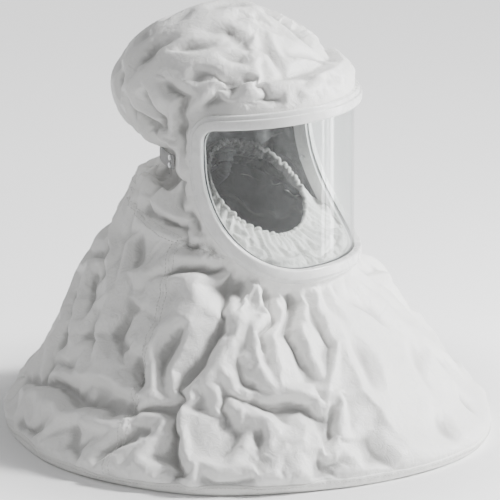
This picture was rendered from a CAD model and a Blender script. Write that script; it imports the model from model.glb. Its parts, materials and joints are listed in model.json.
import json
import math

import bpy
import numpy as np
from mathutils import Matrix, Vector
from mathutils.bvhtree import BVHTree


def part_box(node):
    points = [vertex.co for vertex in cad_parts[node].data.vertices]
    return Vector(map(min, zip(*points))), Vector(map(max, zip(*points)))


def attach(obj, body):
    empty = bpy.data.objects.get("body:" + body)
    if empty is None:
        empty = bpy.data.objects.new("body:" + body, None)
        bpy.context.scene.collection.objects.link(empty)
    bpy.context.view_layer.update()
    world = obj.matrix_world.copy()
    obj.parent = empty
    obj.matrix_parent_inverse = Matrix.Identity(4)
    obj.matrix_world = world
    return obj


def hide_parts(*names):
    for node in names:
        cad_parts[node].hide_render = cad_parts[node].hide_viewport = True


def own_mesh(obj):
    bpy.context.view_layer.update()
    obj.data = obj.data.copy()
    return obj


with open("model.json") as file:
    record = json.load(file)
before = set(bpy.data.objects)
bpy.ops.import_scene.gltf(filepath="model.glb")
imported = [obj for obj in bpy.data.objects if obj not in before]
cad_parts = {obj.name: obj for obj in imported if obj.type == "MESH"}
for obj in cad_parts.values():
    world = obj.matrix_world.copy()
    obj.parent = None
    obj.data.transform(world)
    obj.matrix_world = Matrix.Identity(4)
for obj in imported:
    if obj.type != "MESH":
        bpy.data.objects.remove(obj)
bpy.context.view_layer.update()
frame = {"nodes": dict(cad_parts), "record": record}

MM = 0.001
REF = 106.0

# ---------------------------------------------------------------- shell surface (same stations as the solid model, mm)
STATIONS = np.array([
    (0.0, 237.0, 238.0, 237.0, 0.0), (14.0, 243.0, 243.0, 243.0, 0.0), (40.0, 214.0, 230.0, 225.0, 0.0),
    (80.0, 181.0, 206.0, 199.0, 0.0), (120.0, 141.0, 186.0, 173.0, 0.0), (150.0, 114.0, 174.0, 154.0, 0.0),
    (170.0, 104.0, 164.0, 141.0, 0.0), (200.0, 104.0, 143.0, 122.0, 0.0), (240.0, 104.0, 119.0, 109.0, 0.0),
    (262.0, 104.0, 106.0, 105.0, 0.0), (274.0, 104.0, 94.0, 104.0, 0.0), (285.0, 104.0, 88.0, 104.0, 0.0),
    (296.0, 104.0, 96.0, 104.0, 0.0), (306.0, 104.0, 110.0, 105.0, 0.0), (318.0, 104.0, 128.0, 106.0, 0.0),
    (330.0, 104.0, 139.0, 107.0, 2.0), (346.0, 104.0, 142.0, 108.0, 8.0), (358.0, 96.0, 140.0, 107.0, 16.0),
    (370.0, 84.0, 133.0, 103.0, 23.0), (384.0, 71.0, 125.0, 97.5, 27.0), (400.0, 53.0, 111.0, 87.0, 29.0),
    (412.0, 33.0, 95.0, 72.0, 30.0), (420.0, 19.0, 80.0, 57.0, 30.0)])


def sstep(x):
    x = np.clip(x, 0, 1)
    return x * x * (3 - 2 * x)


def station(z):
    zs = STATIONS[:, 0]
    z = np.clip(np.asarray(z, float), zs[0], zs[-1])
    i = np.clip(np.searchsorted(zs, z, side="right") - 1, 0, len(zs) - 2)
    h = zs[i + 1] - zs[i]
    t = (z - zs[i]) / h
    out = []
    for c in (1, 2, 3, 4):
        v = STATIONS[:, c]
        sl = np.diff(v) / np.diff(zs)
        m = np.zeros(len(v))
        m[0], m[-1] = sl[0], sl[-1]
        a, b = sl[:-1], sl[1:]
        ok = a * b > 0
        m[1:-1] = np.where(ok, 2 * a * b / np.where(ok, a + b, 1.0), 0.0)
        out.append((2 * t**3 - 3 * t**2 + 1) * v[i] + (t**3 - 2 * t**2 + t) * m[i] * h
                   + (-2 * t**3 + 3 * t**2) * v[i + 1] + (t**3 - t**2) * m[i + 1] * h)
    return out


def outline_gap(s, z):
    """Distance outside the visor outline on the developed cylinder, mm."""
    half, low, high = 166.5, 180.0, 338.0
    s = np.abs(s)
    top = high + 8 * (1 - np.minimum(s / half, 1) ** 2)
    a, b = half - 50.0, 300.0 - low
    u = np.maximum(s - 50.0, 0) / a
    w = (300.0 - z) / b
    rr = np.maximum(np.hypot(u, w), 1e-6)
    ell = (rr - 1) * (a * b) / np.maximum(np.hypot(b * u, a * w) / rr, 1e-6)
    g = np.maximum(z - top, np.where(z >= 300.0, s - half, ell))
    zc = high + 8 * (1 - ((half - 22.0) / half) ** 2) - 22.0
    return np.where((s > half - 22.0) & (z > zc), np.hypot(s - (half - 22.0), z - zc) - 22.0, g)


def shell_radius(phi, z):
    F, B, W, C = station(z)
    a = np.radians(phi)
    dx, dy = np.sin(a), -np.cos(a)
    r = np.full(np.broadcast(phi, z).shape, 120.0)
    for _ in range(30):
        y = r * dy - C
        r = r / np.hypot(r * dx / W, y / np.where(y > 0, B - C, F + C))
    m = np.maximum(np.abs(z - 285.0) - 9.0, 0)
    ap = np.abs(phi)
    dip = 104.0 + (86.4 - 104.0) * sstep((ap - 97.0) / 20.0)
    r = r + np.where((m < 16) & (ap > 97), (np.minimum(r, dip) - r) * sstep(1 - m / 16.0), 0)
    g = outline_gap(a * REF, z)
    k = sstep((g - 9.0) / 42.0)
    return np.where((z < 380) & (ap < 125), 103.9 + (r - 103.9) * k, r)


def outline(d, n=360):
    """Closed visor outline moved outward by d: n points (arc length, height), evenly spaced."""
    half, low, high = 166.5 + d, 180.0 - d, 338.0 + d
    corner = max(22.0 + d, 4.0)
    a, b = half - 50.0, 300.0 - low

    def top(s):
        return high + 8 * (1 - (s / half) ** 2)

    pts = [(0.0, low), (25.0, low)]
    pts += [(50.0 + a * math.sin(math.radians(t)), low + b * (1 - math.cos(math.radians(t)))) for t in range(0, 91, 3)]
    zc = top(half - corner) - corner
    pts += [(half - corner + corner * math.cos(math.radians(t)), zc + corner * math.sin(math.radians(t))) for t in range(0, 91, 9)]
    pts += [((half - corner) * k, top((half - corner) * k)) for k in (0.9, 0.8, 0.7, 0.6, 0.5, 0.4, 0.3, 0.2, 0.1)] + [(0.0, top(0.0))]
    pts += [(-s, z) for s, z in reversed(pts[1:-1])]
    P = np.array(pts + [pts[0]])
    L = np.concatenate([[0], np.cumsum(np.hypot(*np.diff(P, axis=0).T))])
    q = np.linspace(0, L[-1], n, endpoint=False)
    return np.column_stack([np.interp(q, L, P[:, 0]), np.interp(q, L, P[:, 1])])


def on_cyl(r, s, z):
    a = s / REF
    return np.column_stack([r * np.sin(a), -r * np.cos(a), np.broadcast_to(z, np.shape(a))])


# ---------------------------------------------------------------- fabric folds (crest lines on the shell, mm): V valley, R ridge, depth, width
FOLDS = [
    ('V', 16, 11, [(-97, -38, 198), (-104, -37, 182), (-123, -44, 164), (-145, -50, 141), (-161, -45, 124), (-179, -37, 103), (-195, -30, 82)]),
    ('V', 14, 9, [(-195, -30, 82), (-207, -31, 64), (-221, -43, 39), (-232, -58, 23), (-230, -57, 0)]),
    ('R', 7, 10, [(-98, -43, 182), (-127, -51, 157), (-143, -54, 141), (-160, -49, 124), (-182, -45, 96), (-195, -40, 78)]),
    ('V', 7, 13, [(-163, -46, 120), (-180, -49, 96), (-198, -55, 68)]),
    ('V', 14, 13, [(-121, 187, 50), (-159, 141, 64), (-187, 96, 64), (-200, 64, 64), (-206, 38, 64), (-207, 9, 68), (-203, -21, 71)]),
    ('R', 7, 9, [(-122, 167, 75), (-158, 123, 82), (-178, 85, 85), (-185, 57, 89), (-196, 26, 82), (-198, 0, 82), (-199, -19, 78)]),
    ('V', 10, 14, [(-169, 174, 16), (-192, 143, 23), (-204, 115, 30)]),
    ('V', 9, 6, [(-81, -66, 182), (-91, -69, 161), (-97, -83, 148), (-121, -82, 138), (-131, -92, 120), (-137, -106, 103)]),
    ('V', 13, 8, [(-62, -84, 175), (-66, -89, 154), (-93, -100, 138), (-102, -117, 117), (-108, -139, 92)]),
    ('V', 8, 6, [(-19, -102, 167), (-1, -114, 144), (23, -129, 131), (28, -146, 113)]),
    ('V', 6, 6, [(-47, -93, 167), (-61, -112, 138), (-70, -129, 120), (-94, -143, 96)]),
    ('R', 6, 8, [(-72, -75, 175), (-86, -88, 148), (-113, -92, 134), (-128, -110, 106)]),
    ('R', 5, 7, [(-53, -89, 167), (-69, -104, 141), (-88, -125, 117)]),
    ('V', 7, 7, [(-89, -54, 194), (-96, -48, 179), (-119, -47, 164)]),
    ('V', 8, 13, [(-41, -137, 120), (-43, -154, 103), (-56, -172, 82), (-63, -179, 71)]),
    ('R', 7, 13, [(-39, -122, 134), (-57, -144, 110), (-73, -170, 78), (-71, -194, 50), (-71, -221, 27), (-62, -235, 12)]),
    ('V', 9, 13, [(-99, -186, 46), (-105, -204, 30), (-98, -222, 12)]),
    ('R', 6, 11, [(39, -151, 106), (7, -176, 85), (-5, -203, 53), (-28, -221, 33)]),
    ('V', 6, 10, [(61, -153, 99), (33, -180, 78), (23, -201, 53)]),
    ('R', 7, 14, [(49, -135, 120), (55, -151, 103), (57, -178, 75), (60, -195, 53), (71, -212, 33)]),
    ('V', 8, 11, [(66, -159, 92), (76, -172, 75), (107, -173, 57)]),
    ('V', 8, 10, [(6, -212, 43), (-7, -227, 30), (-2, -240, 20)]),
    ('V', 9, 11, [(77, -195, 46), (66, -205, 39), (63, -224, 27)]),
    ('V', 11, 11, [(-172, -79, 89), (-164, -101, 82), (-156, -119, 75), (-155, -134, 60)]),
    ('V', 9, 10, [(-147, -120, 82), (-134, -139, 75), (-131, -151, 64)]),
    ('V', 8, 9, [(-111, -155, 75), (-122, -161, 60), (-134, -169, 43)]),
    ('V', 9, 15, [(-154, -167, 33), (-162, -174, 23), (-167, -174, 8)]),
    ('R', 6, 11, [(-188, -129, 33), (-168, -148, 36), (-143, -170, 36)]),
    ('V', 7, 9, [(-231, -70, 20), (-224, -93, 12), (-214, -114, 16), (-205, -129, 16)]),
    ('V', 7, 8, [(-184, -98, 60), (-200, -93, 43), (-209, -88, 36)]),
    ('V', 6, 8, [(-174, -116, 57), (-187, -115, 43)]),
    ('V', 7, 8, [(-151, -73, 117), (-160, -84, 99), (-153, -102, 92)]),
    ('V', 6, 8, [(-172, -74, 92), (-184, -76, 75), (-188, -90, 60)]),
    ('V', 12, 15, [(-140, 51, 161), (-149, 57, 144), (-158, 64, 127), (-174, 46, 110)]),
    ('V', 11, 10, [(-175, 32, 113), (-183, 20, 103), (-195, 17, 85)]),
    ('V', 10, 10, [(-156, -15, 144), (-166, -5, 131), (-177, 1, 113), (-186, -2, 99)]),
    ('R', 7, 9, [(-151, -5, 154), (-155, -19, 144), (-167, -20, 127), (-181, -14, 106), (-192, -21, 89)]),
    ('V', 10, 12, [(-89, 129, 167), (-107, 124, 151), (-127, 114, 134)]),
    ('V', 8, 10, [(-80, 156, 138), (-112, 142, 120)]),
    ('V', 9, 11, [(-116, 146, 110), (-125, 153, 89)]),
    ('V', 9, 8, [(-132, 155, 78), (-158, 119, 85), (-174, 93, 85)]),
    ('V', 10, 8, [(-59, 127, 198), (-92, 112, 182), (-63, 146, 171)]),
    ('V', 10, 9, [(-90, 70, 235), (-107, 32, 231), (-107, 8, 227), (-103, -13, 227)]),
    ('R', 8, 11, [(-86, 68, 247), (-102, 40, 243), (-105, 8, 235)]),
    ('V', 8, 8, [(-111, 15, 218), (-110, 5, 214), (-106, -8, 214)]),
    ('V', 10, 9, [(-104, -10, 218), (-101, -25, 210), (-96, -39, 202)]),
    ('R', 6, 8, [(-128, 40, 182), (-119, 15, 202), (-110, -11, 202)]),
    ('V', 7, 6, [(-131, 22, 182), (-125, 2, 190), (-111, -22, 190), (-97, -38, 198)]),
    ('V', 8, 9, [(-98, 75, 210), (-115, 64, 190), (-124, 64, 179)]),
    ('V', 6, 7, [(-141, 114, 113), (-153, 91, 117), (-157, 92, 110)]),
    ('V', 7, 10, [(-205, 78, 50), (-223, 71, 30), (-237, 52, 16)]),
    ('R', 8, 10, [(-232, 49, 0), (-236, 16, 27), (-223, -11, 43), (-207, -27, 64)]),
    ('V', 7, 9, [(-240, 35, 16), (-230, 21, 33), (-219, 2, 50)]),
    ('V', 8, 11, [(-216, 17, 53), (-216, 0, 53), (-220, -18, 46)]),
    ('V', 9, 8, [(-23, 100, 263), (-89, 51, 263), (-102, 28, 256), (-105, 14, 243)]),
    ('V', 8, 7, [(-49, 73, 272), (-74, 49, 272), (-103, 13, 276)]),
    ('V', 8, 12, [(-43, 93, 263), (-62, 92, 251), (-62, 101, 235)]),
    ('V', 6, 5, [(-103, 19, 324), (-102, 18, 308), (-104, 9, 285)]),
    ('V', 7, 7, [(-104, 6, 243), (-104, -6, 231), (-103, -13, 227)]),
    ('V', 9, 8, [(-100, 40, 377), (-104, 30, 366), (-105, 18, 358), (-103, 24, 332), (-101, 33, 316)]),
    ('V', 9, 6, [(-97, 65, 366), (-101, 55, 349), (-101, 46, 332), (-99, 41, 316)]),
    ('V', 9, 7, [(-84, 93, 349), (-91, 75, 332), (-98, 49, 320)]),
    ('V', 8, 8, [(-66, 108, 370), (-83, 94, 358)]),
    ('V', 7, 6, [(-105, 37, 349), (-102, 37, 332), (-100, 37, 316)]),
    ('V', 8, 7, [(-97, -19, 373), (-104, -8, 349), (-103, 12, 332), (-102, 28, 320)]),
    ('V', 7, 9, [(-104, -8, 345), (-100, -27, 349), (-95, -43, 353)]),
    ('V', 8, 12, [(-93, 16, 391), (-91, -1, 388), (-101, 5, 373)]),
    ('V', 7, 10, [(-87, -22, 381), (-91, -34, 373), (-97, -30, 366)]),
    ('V', 6, 10, [(-70, 61, 408), (-76, 73, 397), (-82, 80, 384)]),
    ('V', 6, 8, [(-52, 29, 422), (-41, 2, 422), (-42, -16, 414), (-53, -27, 405)]),
    ('R', 6, 13, [(-89, 83, 362), (-93, 57, 384), (-87, 35, 400), (-86, 5, 397), (-78, -12, 397)]),
    ('V', 4, 8, [(-43, -24, 410), (-33, -42, 403), (-42, -61, 384)]),
    ('V', 5, 7, [(-26, -49, 400), (-6, -56, 397), (17, -66, 388)]),
    ('V', 5, 7, [(-62, -82, 362), (-34, -84, 377), (6, -74, 381)]),
    ('V', 5, 6, [(-3, -86, 379), (-15, -97, 370)]),
    ('V', 6, 8, [(-77, -69, 353), (-68, -75, 366)]),
    ('V', 5, 6, [(-93, -41, 366), (-88, -53, 362), (-79, -64, 366), (-70, -54, 379)]),
    ('V', 4, 7, [(-83, 43, 403), (-75, 25, 410), (-67, 7, 412)]),
    ('V', 5, 7, [(-75, -6, 403), (-66, -24, 400), (-65, -34, 394)]),
    ('V', 4, 6, [(-10, -10, 424), (0, -26, 416), (12, -32, 412)]),
    ('V', 6, 6, [(-78, -27, 388), (-73, -41, 381), (-90, -30, 377)]),
]

SPACING = 3.8


def fabric_rings():
    zz = np.append(np.arange(0, 418, 1.0), 418.0)
    run = []
    for ph in (0, 60, -60, 120, -120, 180):
        r = shell_radius(np.full(zz.shape, float(ph)), zz)
        run.append(np.concatenate([[0], np.cumsum(np.hypot(np.diff(r), np.diff(zz)))]))
    s = np.mean(run, axis=0)
    n = int(round(s[-1] / SPACING))
    rings = [(z, 1.0) for z in np.interp(np.linspace(0, s[-1], n + 1), s, zz)]
    return rings + [(433 - 15 * (1 - j / 14) ** (1 / 0.44), 1 - j / 14) for j in range(1, 15)]


def fabric_base():
    """Even triangle mesh over the whole shell: positions, (bearing, height, cap factor), triangles."""
    rng = np.random.RandomState(5)
    pos, par, first, count = [], [], [], []
    for z, k in fabric_rings():
        zz = min(z, 418.0)
        ph = np.linspace(-180, 180, 73)[:-1]
        r = shell_radius(ph, np.full(ph.shape, zz)) * k
        n = max(int(round(2 * math.pi * np.mean(r) / SPACING)), 1) if k > 0.01 else 1
        ph = np.sort((-180 + rng.rand() * 360.0 / n + np.arange(n) * 360.0 / n + 180) % 360 - 180)
        r = shell_radius(ph, np.full(ph.shape, zz))
        a = np.radians(ph)
        x, y = r * np.sin(a), -r * np.cos(a)
        if k < 1:
            x, y = x * k, 30 + (y - 30) * k
        first.append(len(pos))
        count.append(n)
        pos += list(zip(x, y, [z] * n))
        par += list(zip(ph, [z] * n, [k] * n))
    tri = []
    for i in range(len(first) - 1):
        a0, na, b0, nb = first[i], count[i], first[i + 1], count[i + 1]
        if nb == 1:
            tri += [(a0 + j, a0 + (j + 1) % na, b0) for j in range(na)]
            continue
        A = [par[a0 + j][0] for j in range(na)] + [par[a0][0] + 360.0]
        B = [par[b0 + j][0] for j in range(nb)] + [par[b0][0] + 360.0]
        ia = ib = 0
        while ia < na or ib < nb:
            if ib >= nb or (ia < na and A[ia + 1] <= B[ib + 1]):
                tri.append((a0 + ia % na, a0 + (ia + 1) % na, b0 + ib % nb))
                ia += 1
            else:
                tri.append((a0 + ia % na, b0 + (ib + 1) % nb, b0 + ib % nb))
                ib += 1
    return np.array(pos), np.array(par), np.array(tri)


def vertex_normals(P, T):
    n = np.zeros_like(P)
    fn = np.cross(P[T[:, 1]] - P[T[:, 0]], P[T[:, 2]] - P[T[:, 0]])
    for k in range(3):
        np.add.at(n, T[:, k], fn)
    return n / np.maximum(np.linalg.norm(n, axis=1)[:, None], 1e-9)


def seam_height(bearing):
    return 246.0 - 60.0 * ((1 + np.cos(np.radians(bearing))) / 2) ** 0.8


def snap(h, where):
    """Moves the nearer end of each edge that crosses h = 0 onto that line, so that panels part cleanly along it."""
    E = np.unique(np.sort(np.vstack([TRI[:, [0, 1]], TRI[:, [1, 2]], TRI[:, [2, 0]]]), axis=1), axis=0)
    E = E[where[E].all(axis=1)]
    ha, hb = h[E[:, 0]], h[E[:, 1]]
    E = E[ha * hb < 0]
    ha, hb = h[E[:, 0]], h[E[:, 1]]
    t = ha / (ha - hb)
    first = t <= 0.5
    who = np.where(first, E[:, 0], E[:, 1])
    to = np.where(first, E[:, 1], E[:, 0])
    s = np.where(first, t, 1 - t)
    order = np.argsort(-s)
    who, to, s = who[order], to[order], s[order]
    new = P0.copy()
    newp = PAR.copy()
    new[who] = P0[who] + s[:, None] * (P0[to] - P0[who])
    dp = PAR[to] - PAR[who]
    dp[:, 0] = (dp[:, 0] + 180) % 360 - 180
    newp[who] = PAR[who] + s[:, None] * dp
    h2 = h.copy()
    h2[who] = 0.0
    return new, newp, h2


P0, PAR, TRI = fabric_base()


def gap_now():
    g = outline_gap(np.radians(PAR[:, 0]) * REF, PAR[:, 1])
    return g, (PAR[:, 1] < 380) & (np.abs(PAR[:, 0]) < 125)


GAP, low_zone = gap_now()
P0, PAR, h = snap(GAP - 2.6, low_zone & (np.abs(PAR[:, 0]) < 110))
TRI = TRI[~((h < -1e-6) & low_zone)[TRI].any(axis=1)]
HOLES = [(np.array([86.25, 86.25, 338.0]), 12.6)]
for c, r in HOLES:
    P0, PAR, h = snap(np.linalg.norm(P0 - c, axis=1) - r, np.ones(len(P0), bool))
    TRI = TRI[~(h < -1e-6)[TRI].any(axis=1)]
P0, PAR, h = snap(PAR[:, 1] - seam_height(PAR[:, 0]), np.ones(len(P0), bool))
on_neck = np.abs(h) < 1e-9
P0, PAR, h = snap(P0[:, 1] - 18.0, (PAR[:, 1] < seam_height(PAR[:, 0]) + 0.5) & (~on_neck))
used = np.zeros(len(P0), bool)
used[TRI.ravel()] = True
renum = -np.ones(len(P0), int)
renum[used] = np.arange(used.sum())
P0, PAR, TRI = P0[used], PAR[used], renum[TRI]
GAP, low_zone = gap_now()
N0 = vertex_normals(P0, TRI)
if (N0[:, :2] * P0[:, :2]).sum() < 0:
    TRI, N0 = TRI[:, ::-1], -N0

rng = np.random.RandomState(11)
all_folds = list(FOLDS)
for kind, d, w, pts in FOLDS:  # the side turned away carries the same kinds of fold, mirrored and shaken
    c = np.mean(np.array(pts), axis=0)
    if -148 < math.degrees(math.atan2(c[0], -c[1])) < -32:
        j = rng.uniform(-9, 9, 3)
        all_folds.append((kind, d * rng.uniform(0.7, 1.05), w, [(-x + j[0], y + j[1], z + j[2] * 0.6) for x, y, z in pts]))
disp = np.zeros(len(P0))
for kind, d, w, pts in all_folds:
    pts = np.array(pts, float)
    if pts[:, 2].mean() > 292 and pts[:, 1].mean() > 20:
        d = d * 1.3
    elif pts[:, 2].mean() > 350:
        d = d * 0.75
    steep = rng.choice([-1.0, 1.0])  # cloth drops sharply on one side of a fold and runs out gently on the other
    seg = np.linalg.norm(np.diff(pts, axis=0), axis=1)
    L = np.concatenate([[0], np.cumsum(seg)])
    near = np.full(len(P0), 1e9)
    along, side = np.zeros(len(P0)), np.zeros(len(P0))
    for i in range(len(pts) - 1):
        ab = pts[i + 1] - pts[i]
        t = np.clip(((P0 - pts[i]) @ ab) / max(ab @ ab, 1e-9), 0, 1)
        rel = P0 - (pts[i] + t[:, None] * ab)
        dd = np.linalg.norm(rel, axis=1)
        m = dd < near
        near[m] = dd[m]
        along[m] = ((L[i] + t * seg[i]) / L[-1])[m]
        side[m] = (np.einsum("ij,ij->i", np.cross(rel, ab / seg[i]), N0) / w)[m]
    x = near / w
    lean_k = sstep(0.5 + 0.5 * np.clip(side * steep / 0.35, -1, 1))
    reach = 0.62 + 1.0 * lean_k
    taper = np.sin(np.pi * np.clip(along, 0.02, 0.98)) ** 0.5
    crest = np.exp(-((x / reach) ** 1.25))
    lip = np.exp(-(((x - 1.45) / 0.6) ** 2)) * (1 - lean_k)
    disp += (-d * crest + 0.30 * d * lip) * taper if kind == "V" else (d * crest) * taper
bear = np.radians(PAR[:, 0])
dz = PAR[:, 1] - 285
# gathers drawn together at the nape
back = sstep((np.abs(PAR[:, 0]) - 96) / 14)
amp = np.where(np.abs(dz) < 8, 1.0, 1.0 + 5.6 * sstep((np.abs(dz) - 8) / 24)) * np.exp(-np.maximum(np.abs(dz) - 28, 0) / 24)
wob = 0.35 * np.sin(5 * bear + 0.7) + 0.25 * np.sin(9 * bear + 2.1)
disp += back * amp * (0.65 * np.sin(31 * bear + 6 * wob + dz * 0.01) + 0.5 * np.sin(17 * bear + 4 * wob + 1.3))
# gathers under the visor
under = np.exp(-((np.abs(bear) / 1.25) ** 4)) * sstep((GAP - 8) / 14) * np.exp(-np.maximum(GAP - 26, 0) / 40) * (PAR[:, 1] < 262)
disp += under * 4.6 * (0.6 * np.sin(24 * bear + 3 * wob) + 0.5 * np.sin(14 * bear + 2.2 + 3 * wob))
disp *= np.where(low_zone, sstep((GAP - 9.5) / 12), 1) * sstep((PAR[:, 1] - 1) / 14)
strap_zone = (np.abs(dz) < 9) & (np.abs(PAR[:, 0]) > 106)
disp = np.where(strap_zone, np.minimum(disp, 0.4), disp)
valve = np.linalg.norm(P0 - np.array([86.25, 86.25, 338.0]), axis=1)
disp *= sstep((valve - 20) / 14)
for zb in (124.0, 184.0):  # flat under the pack's two buttons
    disp *= sstep((np.linalg.norm(P0 - np.array([0, 174.0 if zb < 150 else 143.5, 147.0 if zb < 150 else 206.0]), axis=1) - 14) / 14)
disp = np.clip(disp, -17, 9)
# the hem is pulled out a little on the near side and the front quarter
pull = 11.0 * np.exp(-(((PAR[:, 0] + 86) / 26) ** 2)) + 5.0 * np.exp(-(((PAR[:, 0] + 8) / 15) ** 2)) + 2.2 * np.sin(5 * bear + 0.6) + 1.6 * np.sin(9 * bear)
pull *= sstep((78 - PAR[:, 1]) / 70)
P0R = P0 + np.column_stack([P0[:, 0], P0[:, 1], 0 * P0[:, 0]]) / np.hypot(P0[:, 0], P0[:, 1]).clip(1)[:, None] * pull[:, None]
P1 = P0R + N0 * disp[:, None]

# how freely the cloth may buckle: the back panel and crown crumple, the right front stays in long smooth folds
calm = sstep((PAR[:, 0] + 38) / 26) * sstep((58 - PAR[:, 0]) / 20) * sstep((190 - PAR[:, 1]) / 40)
hold = 0.22 + 0.55 * calm
hold = np.where(low_zone, np.maximum(hold, 1 - sstep((GAP - 12) / 12)), hold)
hold = np.maximum(hold, 1 - sstep((PAR[:, 1] - 8) / 16))
hold[strap_zone] = 1
hold[valve < 19] = 1


def settle(P, T, hold, frames, grow, bend, stretch=30.0, gravity=0.05):
    """Lets a sheet with a little too much cloth in it buckle into crumples round its held shape. 1 unit = 100 mm while it runs."""
    sc = bpy.context.scene
    me = bpy.data.meshes.new("sheet")
    me.from_pydata((P * 0.01).tolist(), [], T.tolist())
    ob = bpy.data.objects.new("sheet", me)
    sc.collection.objects.link(ob)
    vg = ob.vertex_groups.new(name="hold")
    q = np.round(np.clip(hold, 0, 1), 2)
    for w in np.unique(q):
        vg.add(np.where(q == w)[0].tolist(), float(w), "REPLACE")
    cm = ob.modifiers.new("cloth", "CLOTH")
    cs = cm.settings
    cs.quality, cs.mass, cs.air_damping = 5, 0.3, 1.0
    cs.tension_stiffness = cs.compression_stiffness = stretch
    cs.shear_stiffness, cs.bending_stiffness = 5, bend
    cs.tension_damping = cs.compression_damping = cs.shear_damping = 5
    cs.bending_damping = 0.5
    cs.vertex_group_mass = "hold"
    cs.pin_stiffness = 1.0
    cs.shrink_min = -grow
    cs.effector_weights.gravity = gravity
    cm.collision_settings.use_collision = False
    cm.collision_settings.use_self_collision = False
    cm.point_cache.frame_start, cm.point_cache.frame_end = 1, frames + 1
    for f in range(1, frames + 1):
        sc.frame_set(f)
    ev = ob.evaluated_get(bpy.context.evaluated_depsgraph_get())
    out = np.empty(len(P) * 3)
    ev.data.vertices.foreach_get("co", out)
    bpy.data.objects.remove(ob)
    bpy.data.meshes.remove(me)
    sc.frame_set(1)
    return out.reshape(-1, 3) * 100.0


P2 = settle(P1, TRI, hold, 24, 0.045, 10.0)
# nothing may reach inward of the parts under the cloth, or past the ground
R2 = np.hypot(P2[:, 0], P2[:, 1])

E_ = np.unique(np.sort(np.vstack([TRI[:, [0, 1]], TRI[:, [1, 2]], TRI[:, [2, 0]]]), axis=1), axis=0)
DEG = np.bincount(E_.ravel(), minlength=len(P0)).astype(float)


def relax(v, times):
    """Averages a value (or position) over its neighbours, again and again."""
    v = np.array(v, float)
    flat = v.ndim == 1
    v = v.reshape(len(v), -1)
    for _ in range(times):
        acc = np.zeros_like(v)
        np.add.at(acc, E_[:, 0], v[E_[:, 1]])
        np.add.at(acc, E_[:, 1], v[E_[:, 0]])
        v = 0.4 * v + 0.6 * acc / DEG[:, None]
    return v[:, 0] if flat else v


free = np.clip((1 - hold) / 0.75, 0, 1)
soft = (0.85 * calm * (hold < 0.95))[:, None]
P2 = P2 * (1 - soft) + relax(P2, 4) * soft


def facet(P, T, keep, rounds=2, sigma=0.24, normal_steps=3, move_steps=8):
    """Draws a crumpled sheet into flat facets with crisp creases between them: face normals are averaged only with similar neighbours, then the points follow them."""
    key = np.sort(np.vstack([T[:, [0, 1]], T[:, [1, 2]], T[:, [2, 0]]]), axis=1)
    face = np.tile(np.arange(len(T)), 3)
    order = np.lexsort((key[:, 1], key[:, 0]))
    key, face = key[order], face[order]
    same = (key[1:] == key[:-1]).all(1)
    A, B = face[:-1][same], face[1:][same]
    count = np.bincount(T.ravel(), minlength=len(P)).astype(float)
    P = P.copy()
    for _ in range(rounds):
        n = np.cross(P[T[:, 1]] - P[T[:, 0]], P[T[:, 2]] - P[T[:, 0]])
        area = np.linalg.norm(n, axis=1)
        n /= area[:, None].clip(1e-9)
        for _ in range(normal_steps):
            w = np.exp(-((n[A] - n[B]) ** 2).sum(1) / (2 * sigma * sigma))
            acc = n * area[:, None]
            for k in range(3):
                acc[:, k] += np.bincount(A, w * area[B] * n[B, k], len(T)) + np.bincount(B, w * area[A] * n[A, k], len(T))
            n = acc / np.linalg.norm(acc, axis=1)[:, None].clip(1e-9)
        for _ in range(move_steps):
            mid = P[T].mean(1)
            step = np.zeros_like(P)
            for j in range(3):
                v = n * np.einsum("ij,ij->i", n, mid - P[T[:, j]])[:, None]
                for k in range(3):
                    step[:, k] += np.bincount(T[:, j], v[:, k], len(P))
            P += step / count[:, None] * keep[:, None]
    return P


# long irregular creases between the big folds
from mathutils import noise as mnoise
NR = vertex_normals(P2, TRI)
ridge = np.zeros(len(P2))
for i in np.where(free > 0.02)[0]:
    q = Vector((P2[i, 0] / 25.0, P2[i, 1] / 25.0, P2[i, 2] / 36.0))
    d = mnoise.voronoi(q + mnoise.noise_vector(q * 1.3) * 0.5)[0]
    ridge[i] = math.exp(-(d[1] - d[0]) / 0.11) * min(max(0.45 + 1.8 * mnoise.noise(q * 0.4), 0.0), 1.0)
P2 = P2 + NR * (2.1 * ridge * free * (1 - 0.55 * calm))[:, None]
P2 = P2 + ((P2 - relax(P2, 2)) * 1.0 + (P2 - relax(P2, 9)) * 0.15) * (free * (1 - 0.75 * calm))[:, None]
P2 = facet(P2, TRI, free)
far = np.einsum("ij,ij->i", P2 - P0R, N0)
P2 = P2 + N0 * (np.clip(far, -24, np.where(PAR[:, 1] > 296, 4.0, 8.5)) - far)[:, None] * (PAR[:, 1] > 1)[:, None]
P2[:, 2] = np.clip(P2[:, 2] - 6.0 * sstep((PAR[:, 1] - 352) / 70), 0.6, 434.5)
# room for the slider to travel along the strap
swing = np.abs(np.degrees(np.arctan2(P2[:, 0], P2[:, 1])))
allowed = 85.9 + 2.2 * np.clip(np.abs(P2[:, 2] - 285.0) - 12.5, 0, None) + 40 * sstep((swing - 34) / 8)
R2 = np.hypot(P2[:, 0], P2[:, 1])
pull = np.where((P2[:, 1] > 0) & (np.abs(P2[:, 2] - 285.0) < 26), np.minimum(1.0, allowed / R2.clip(1)), 1.0)
P2[:, :2] *= pull[:, None]
N2 = vertex_normals(P2, TRI)
far = np.einsum("ij,ij->i", P2 - P0R, N0)
FOLD_DEPTH = np.clip((relax(far, 22) - relax(far, 1)) / 3.6, 0, 1)

# ---------------------------------------------------------------- where a point of the unfolded shell ended up
BASE_TREE = BVHTree.FromPolygons([tuple(p) for p in P0], [tuple(int(i) for i in t) for t in TRI])


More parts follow.
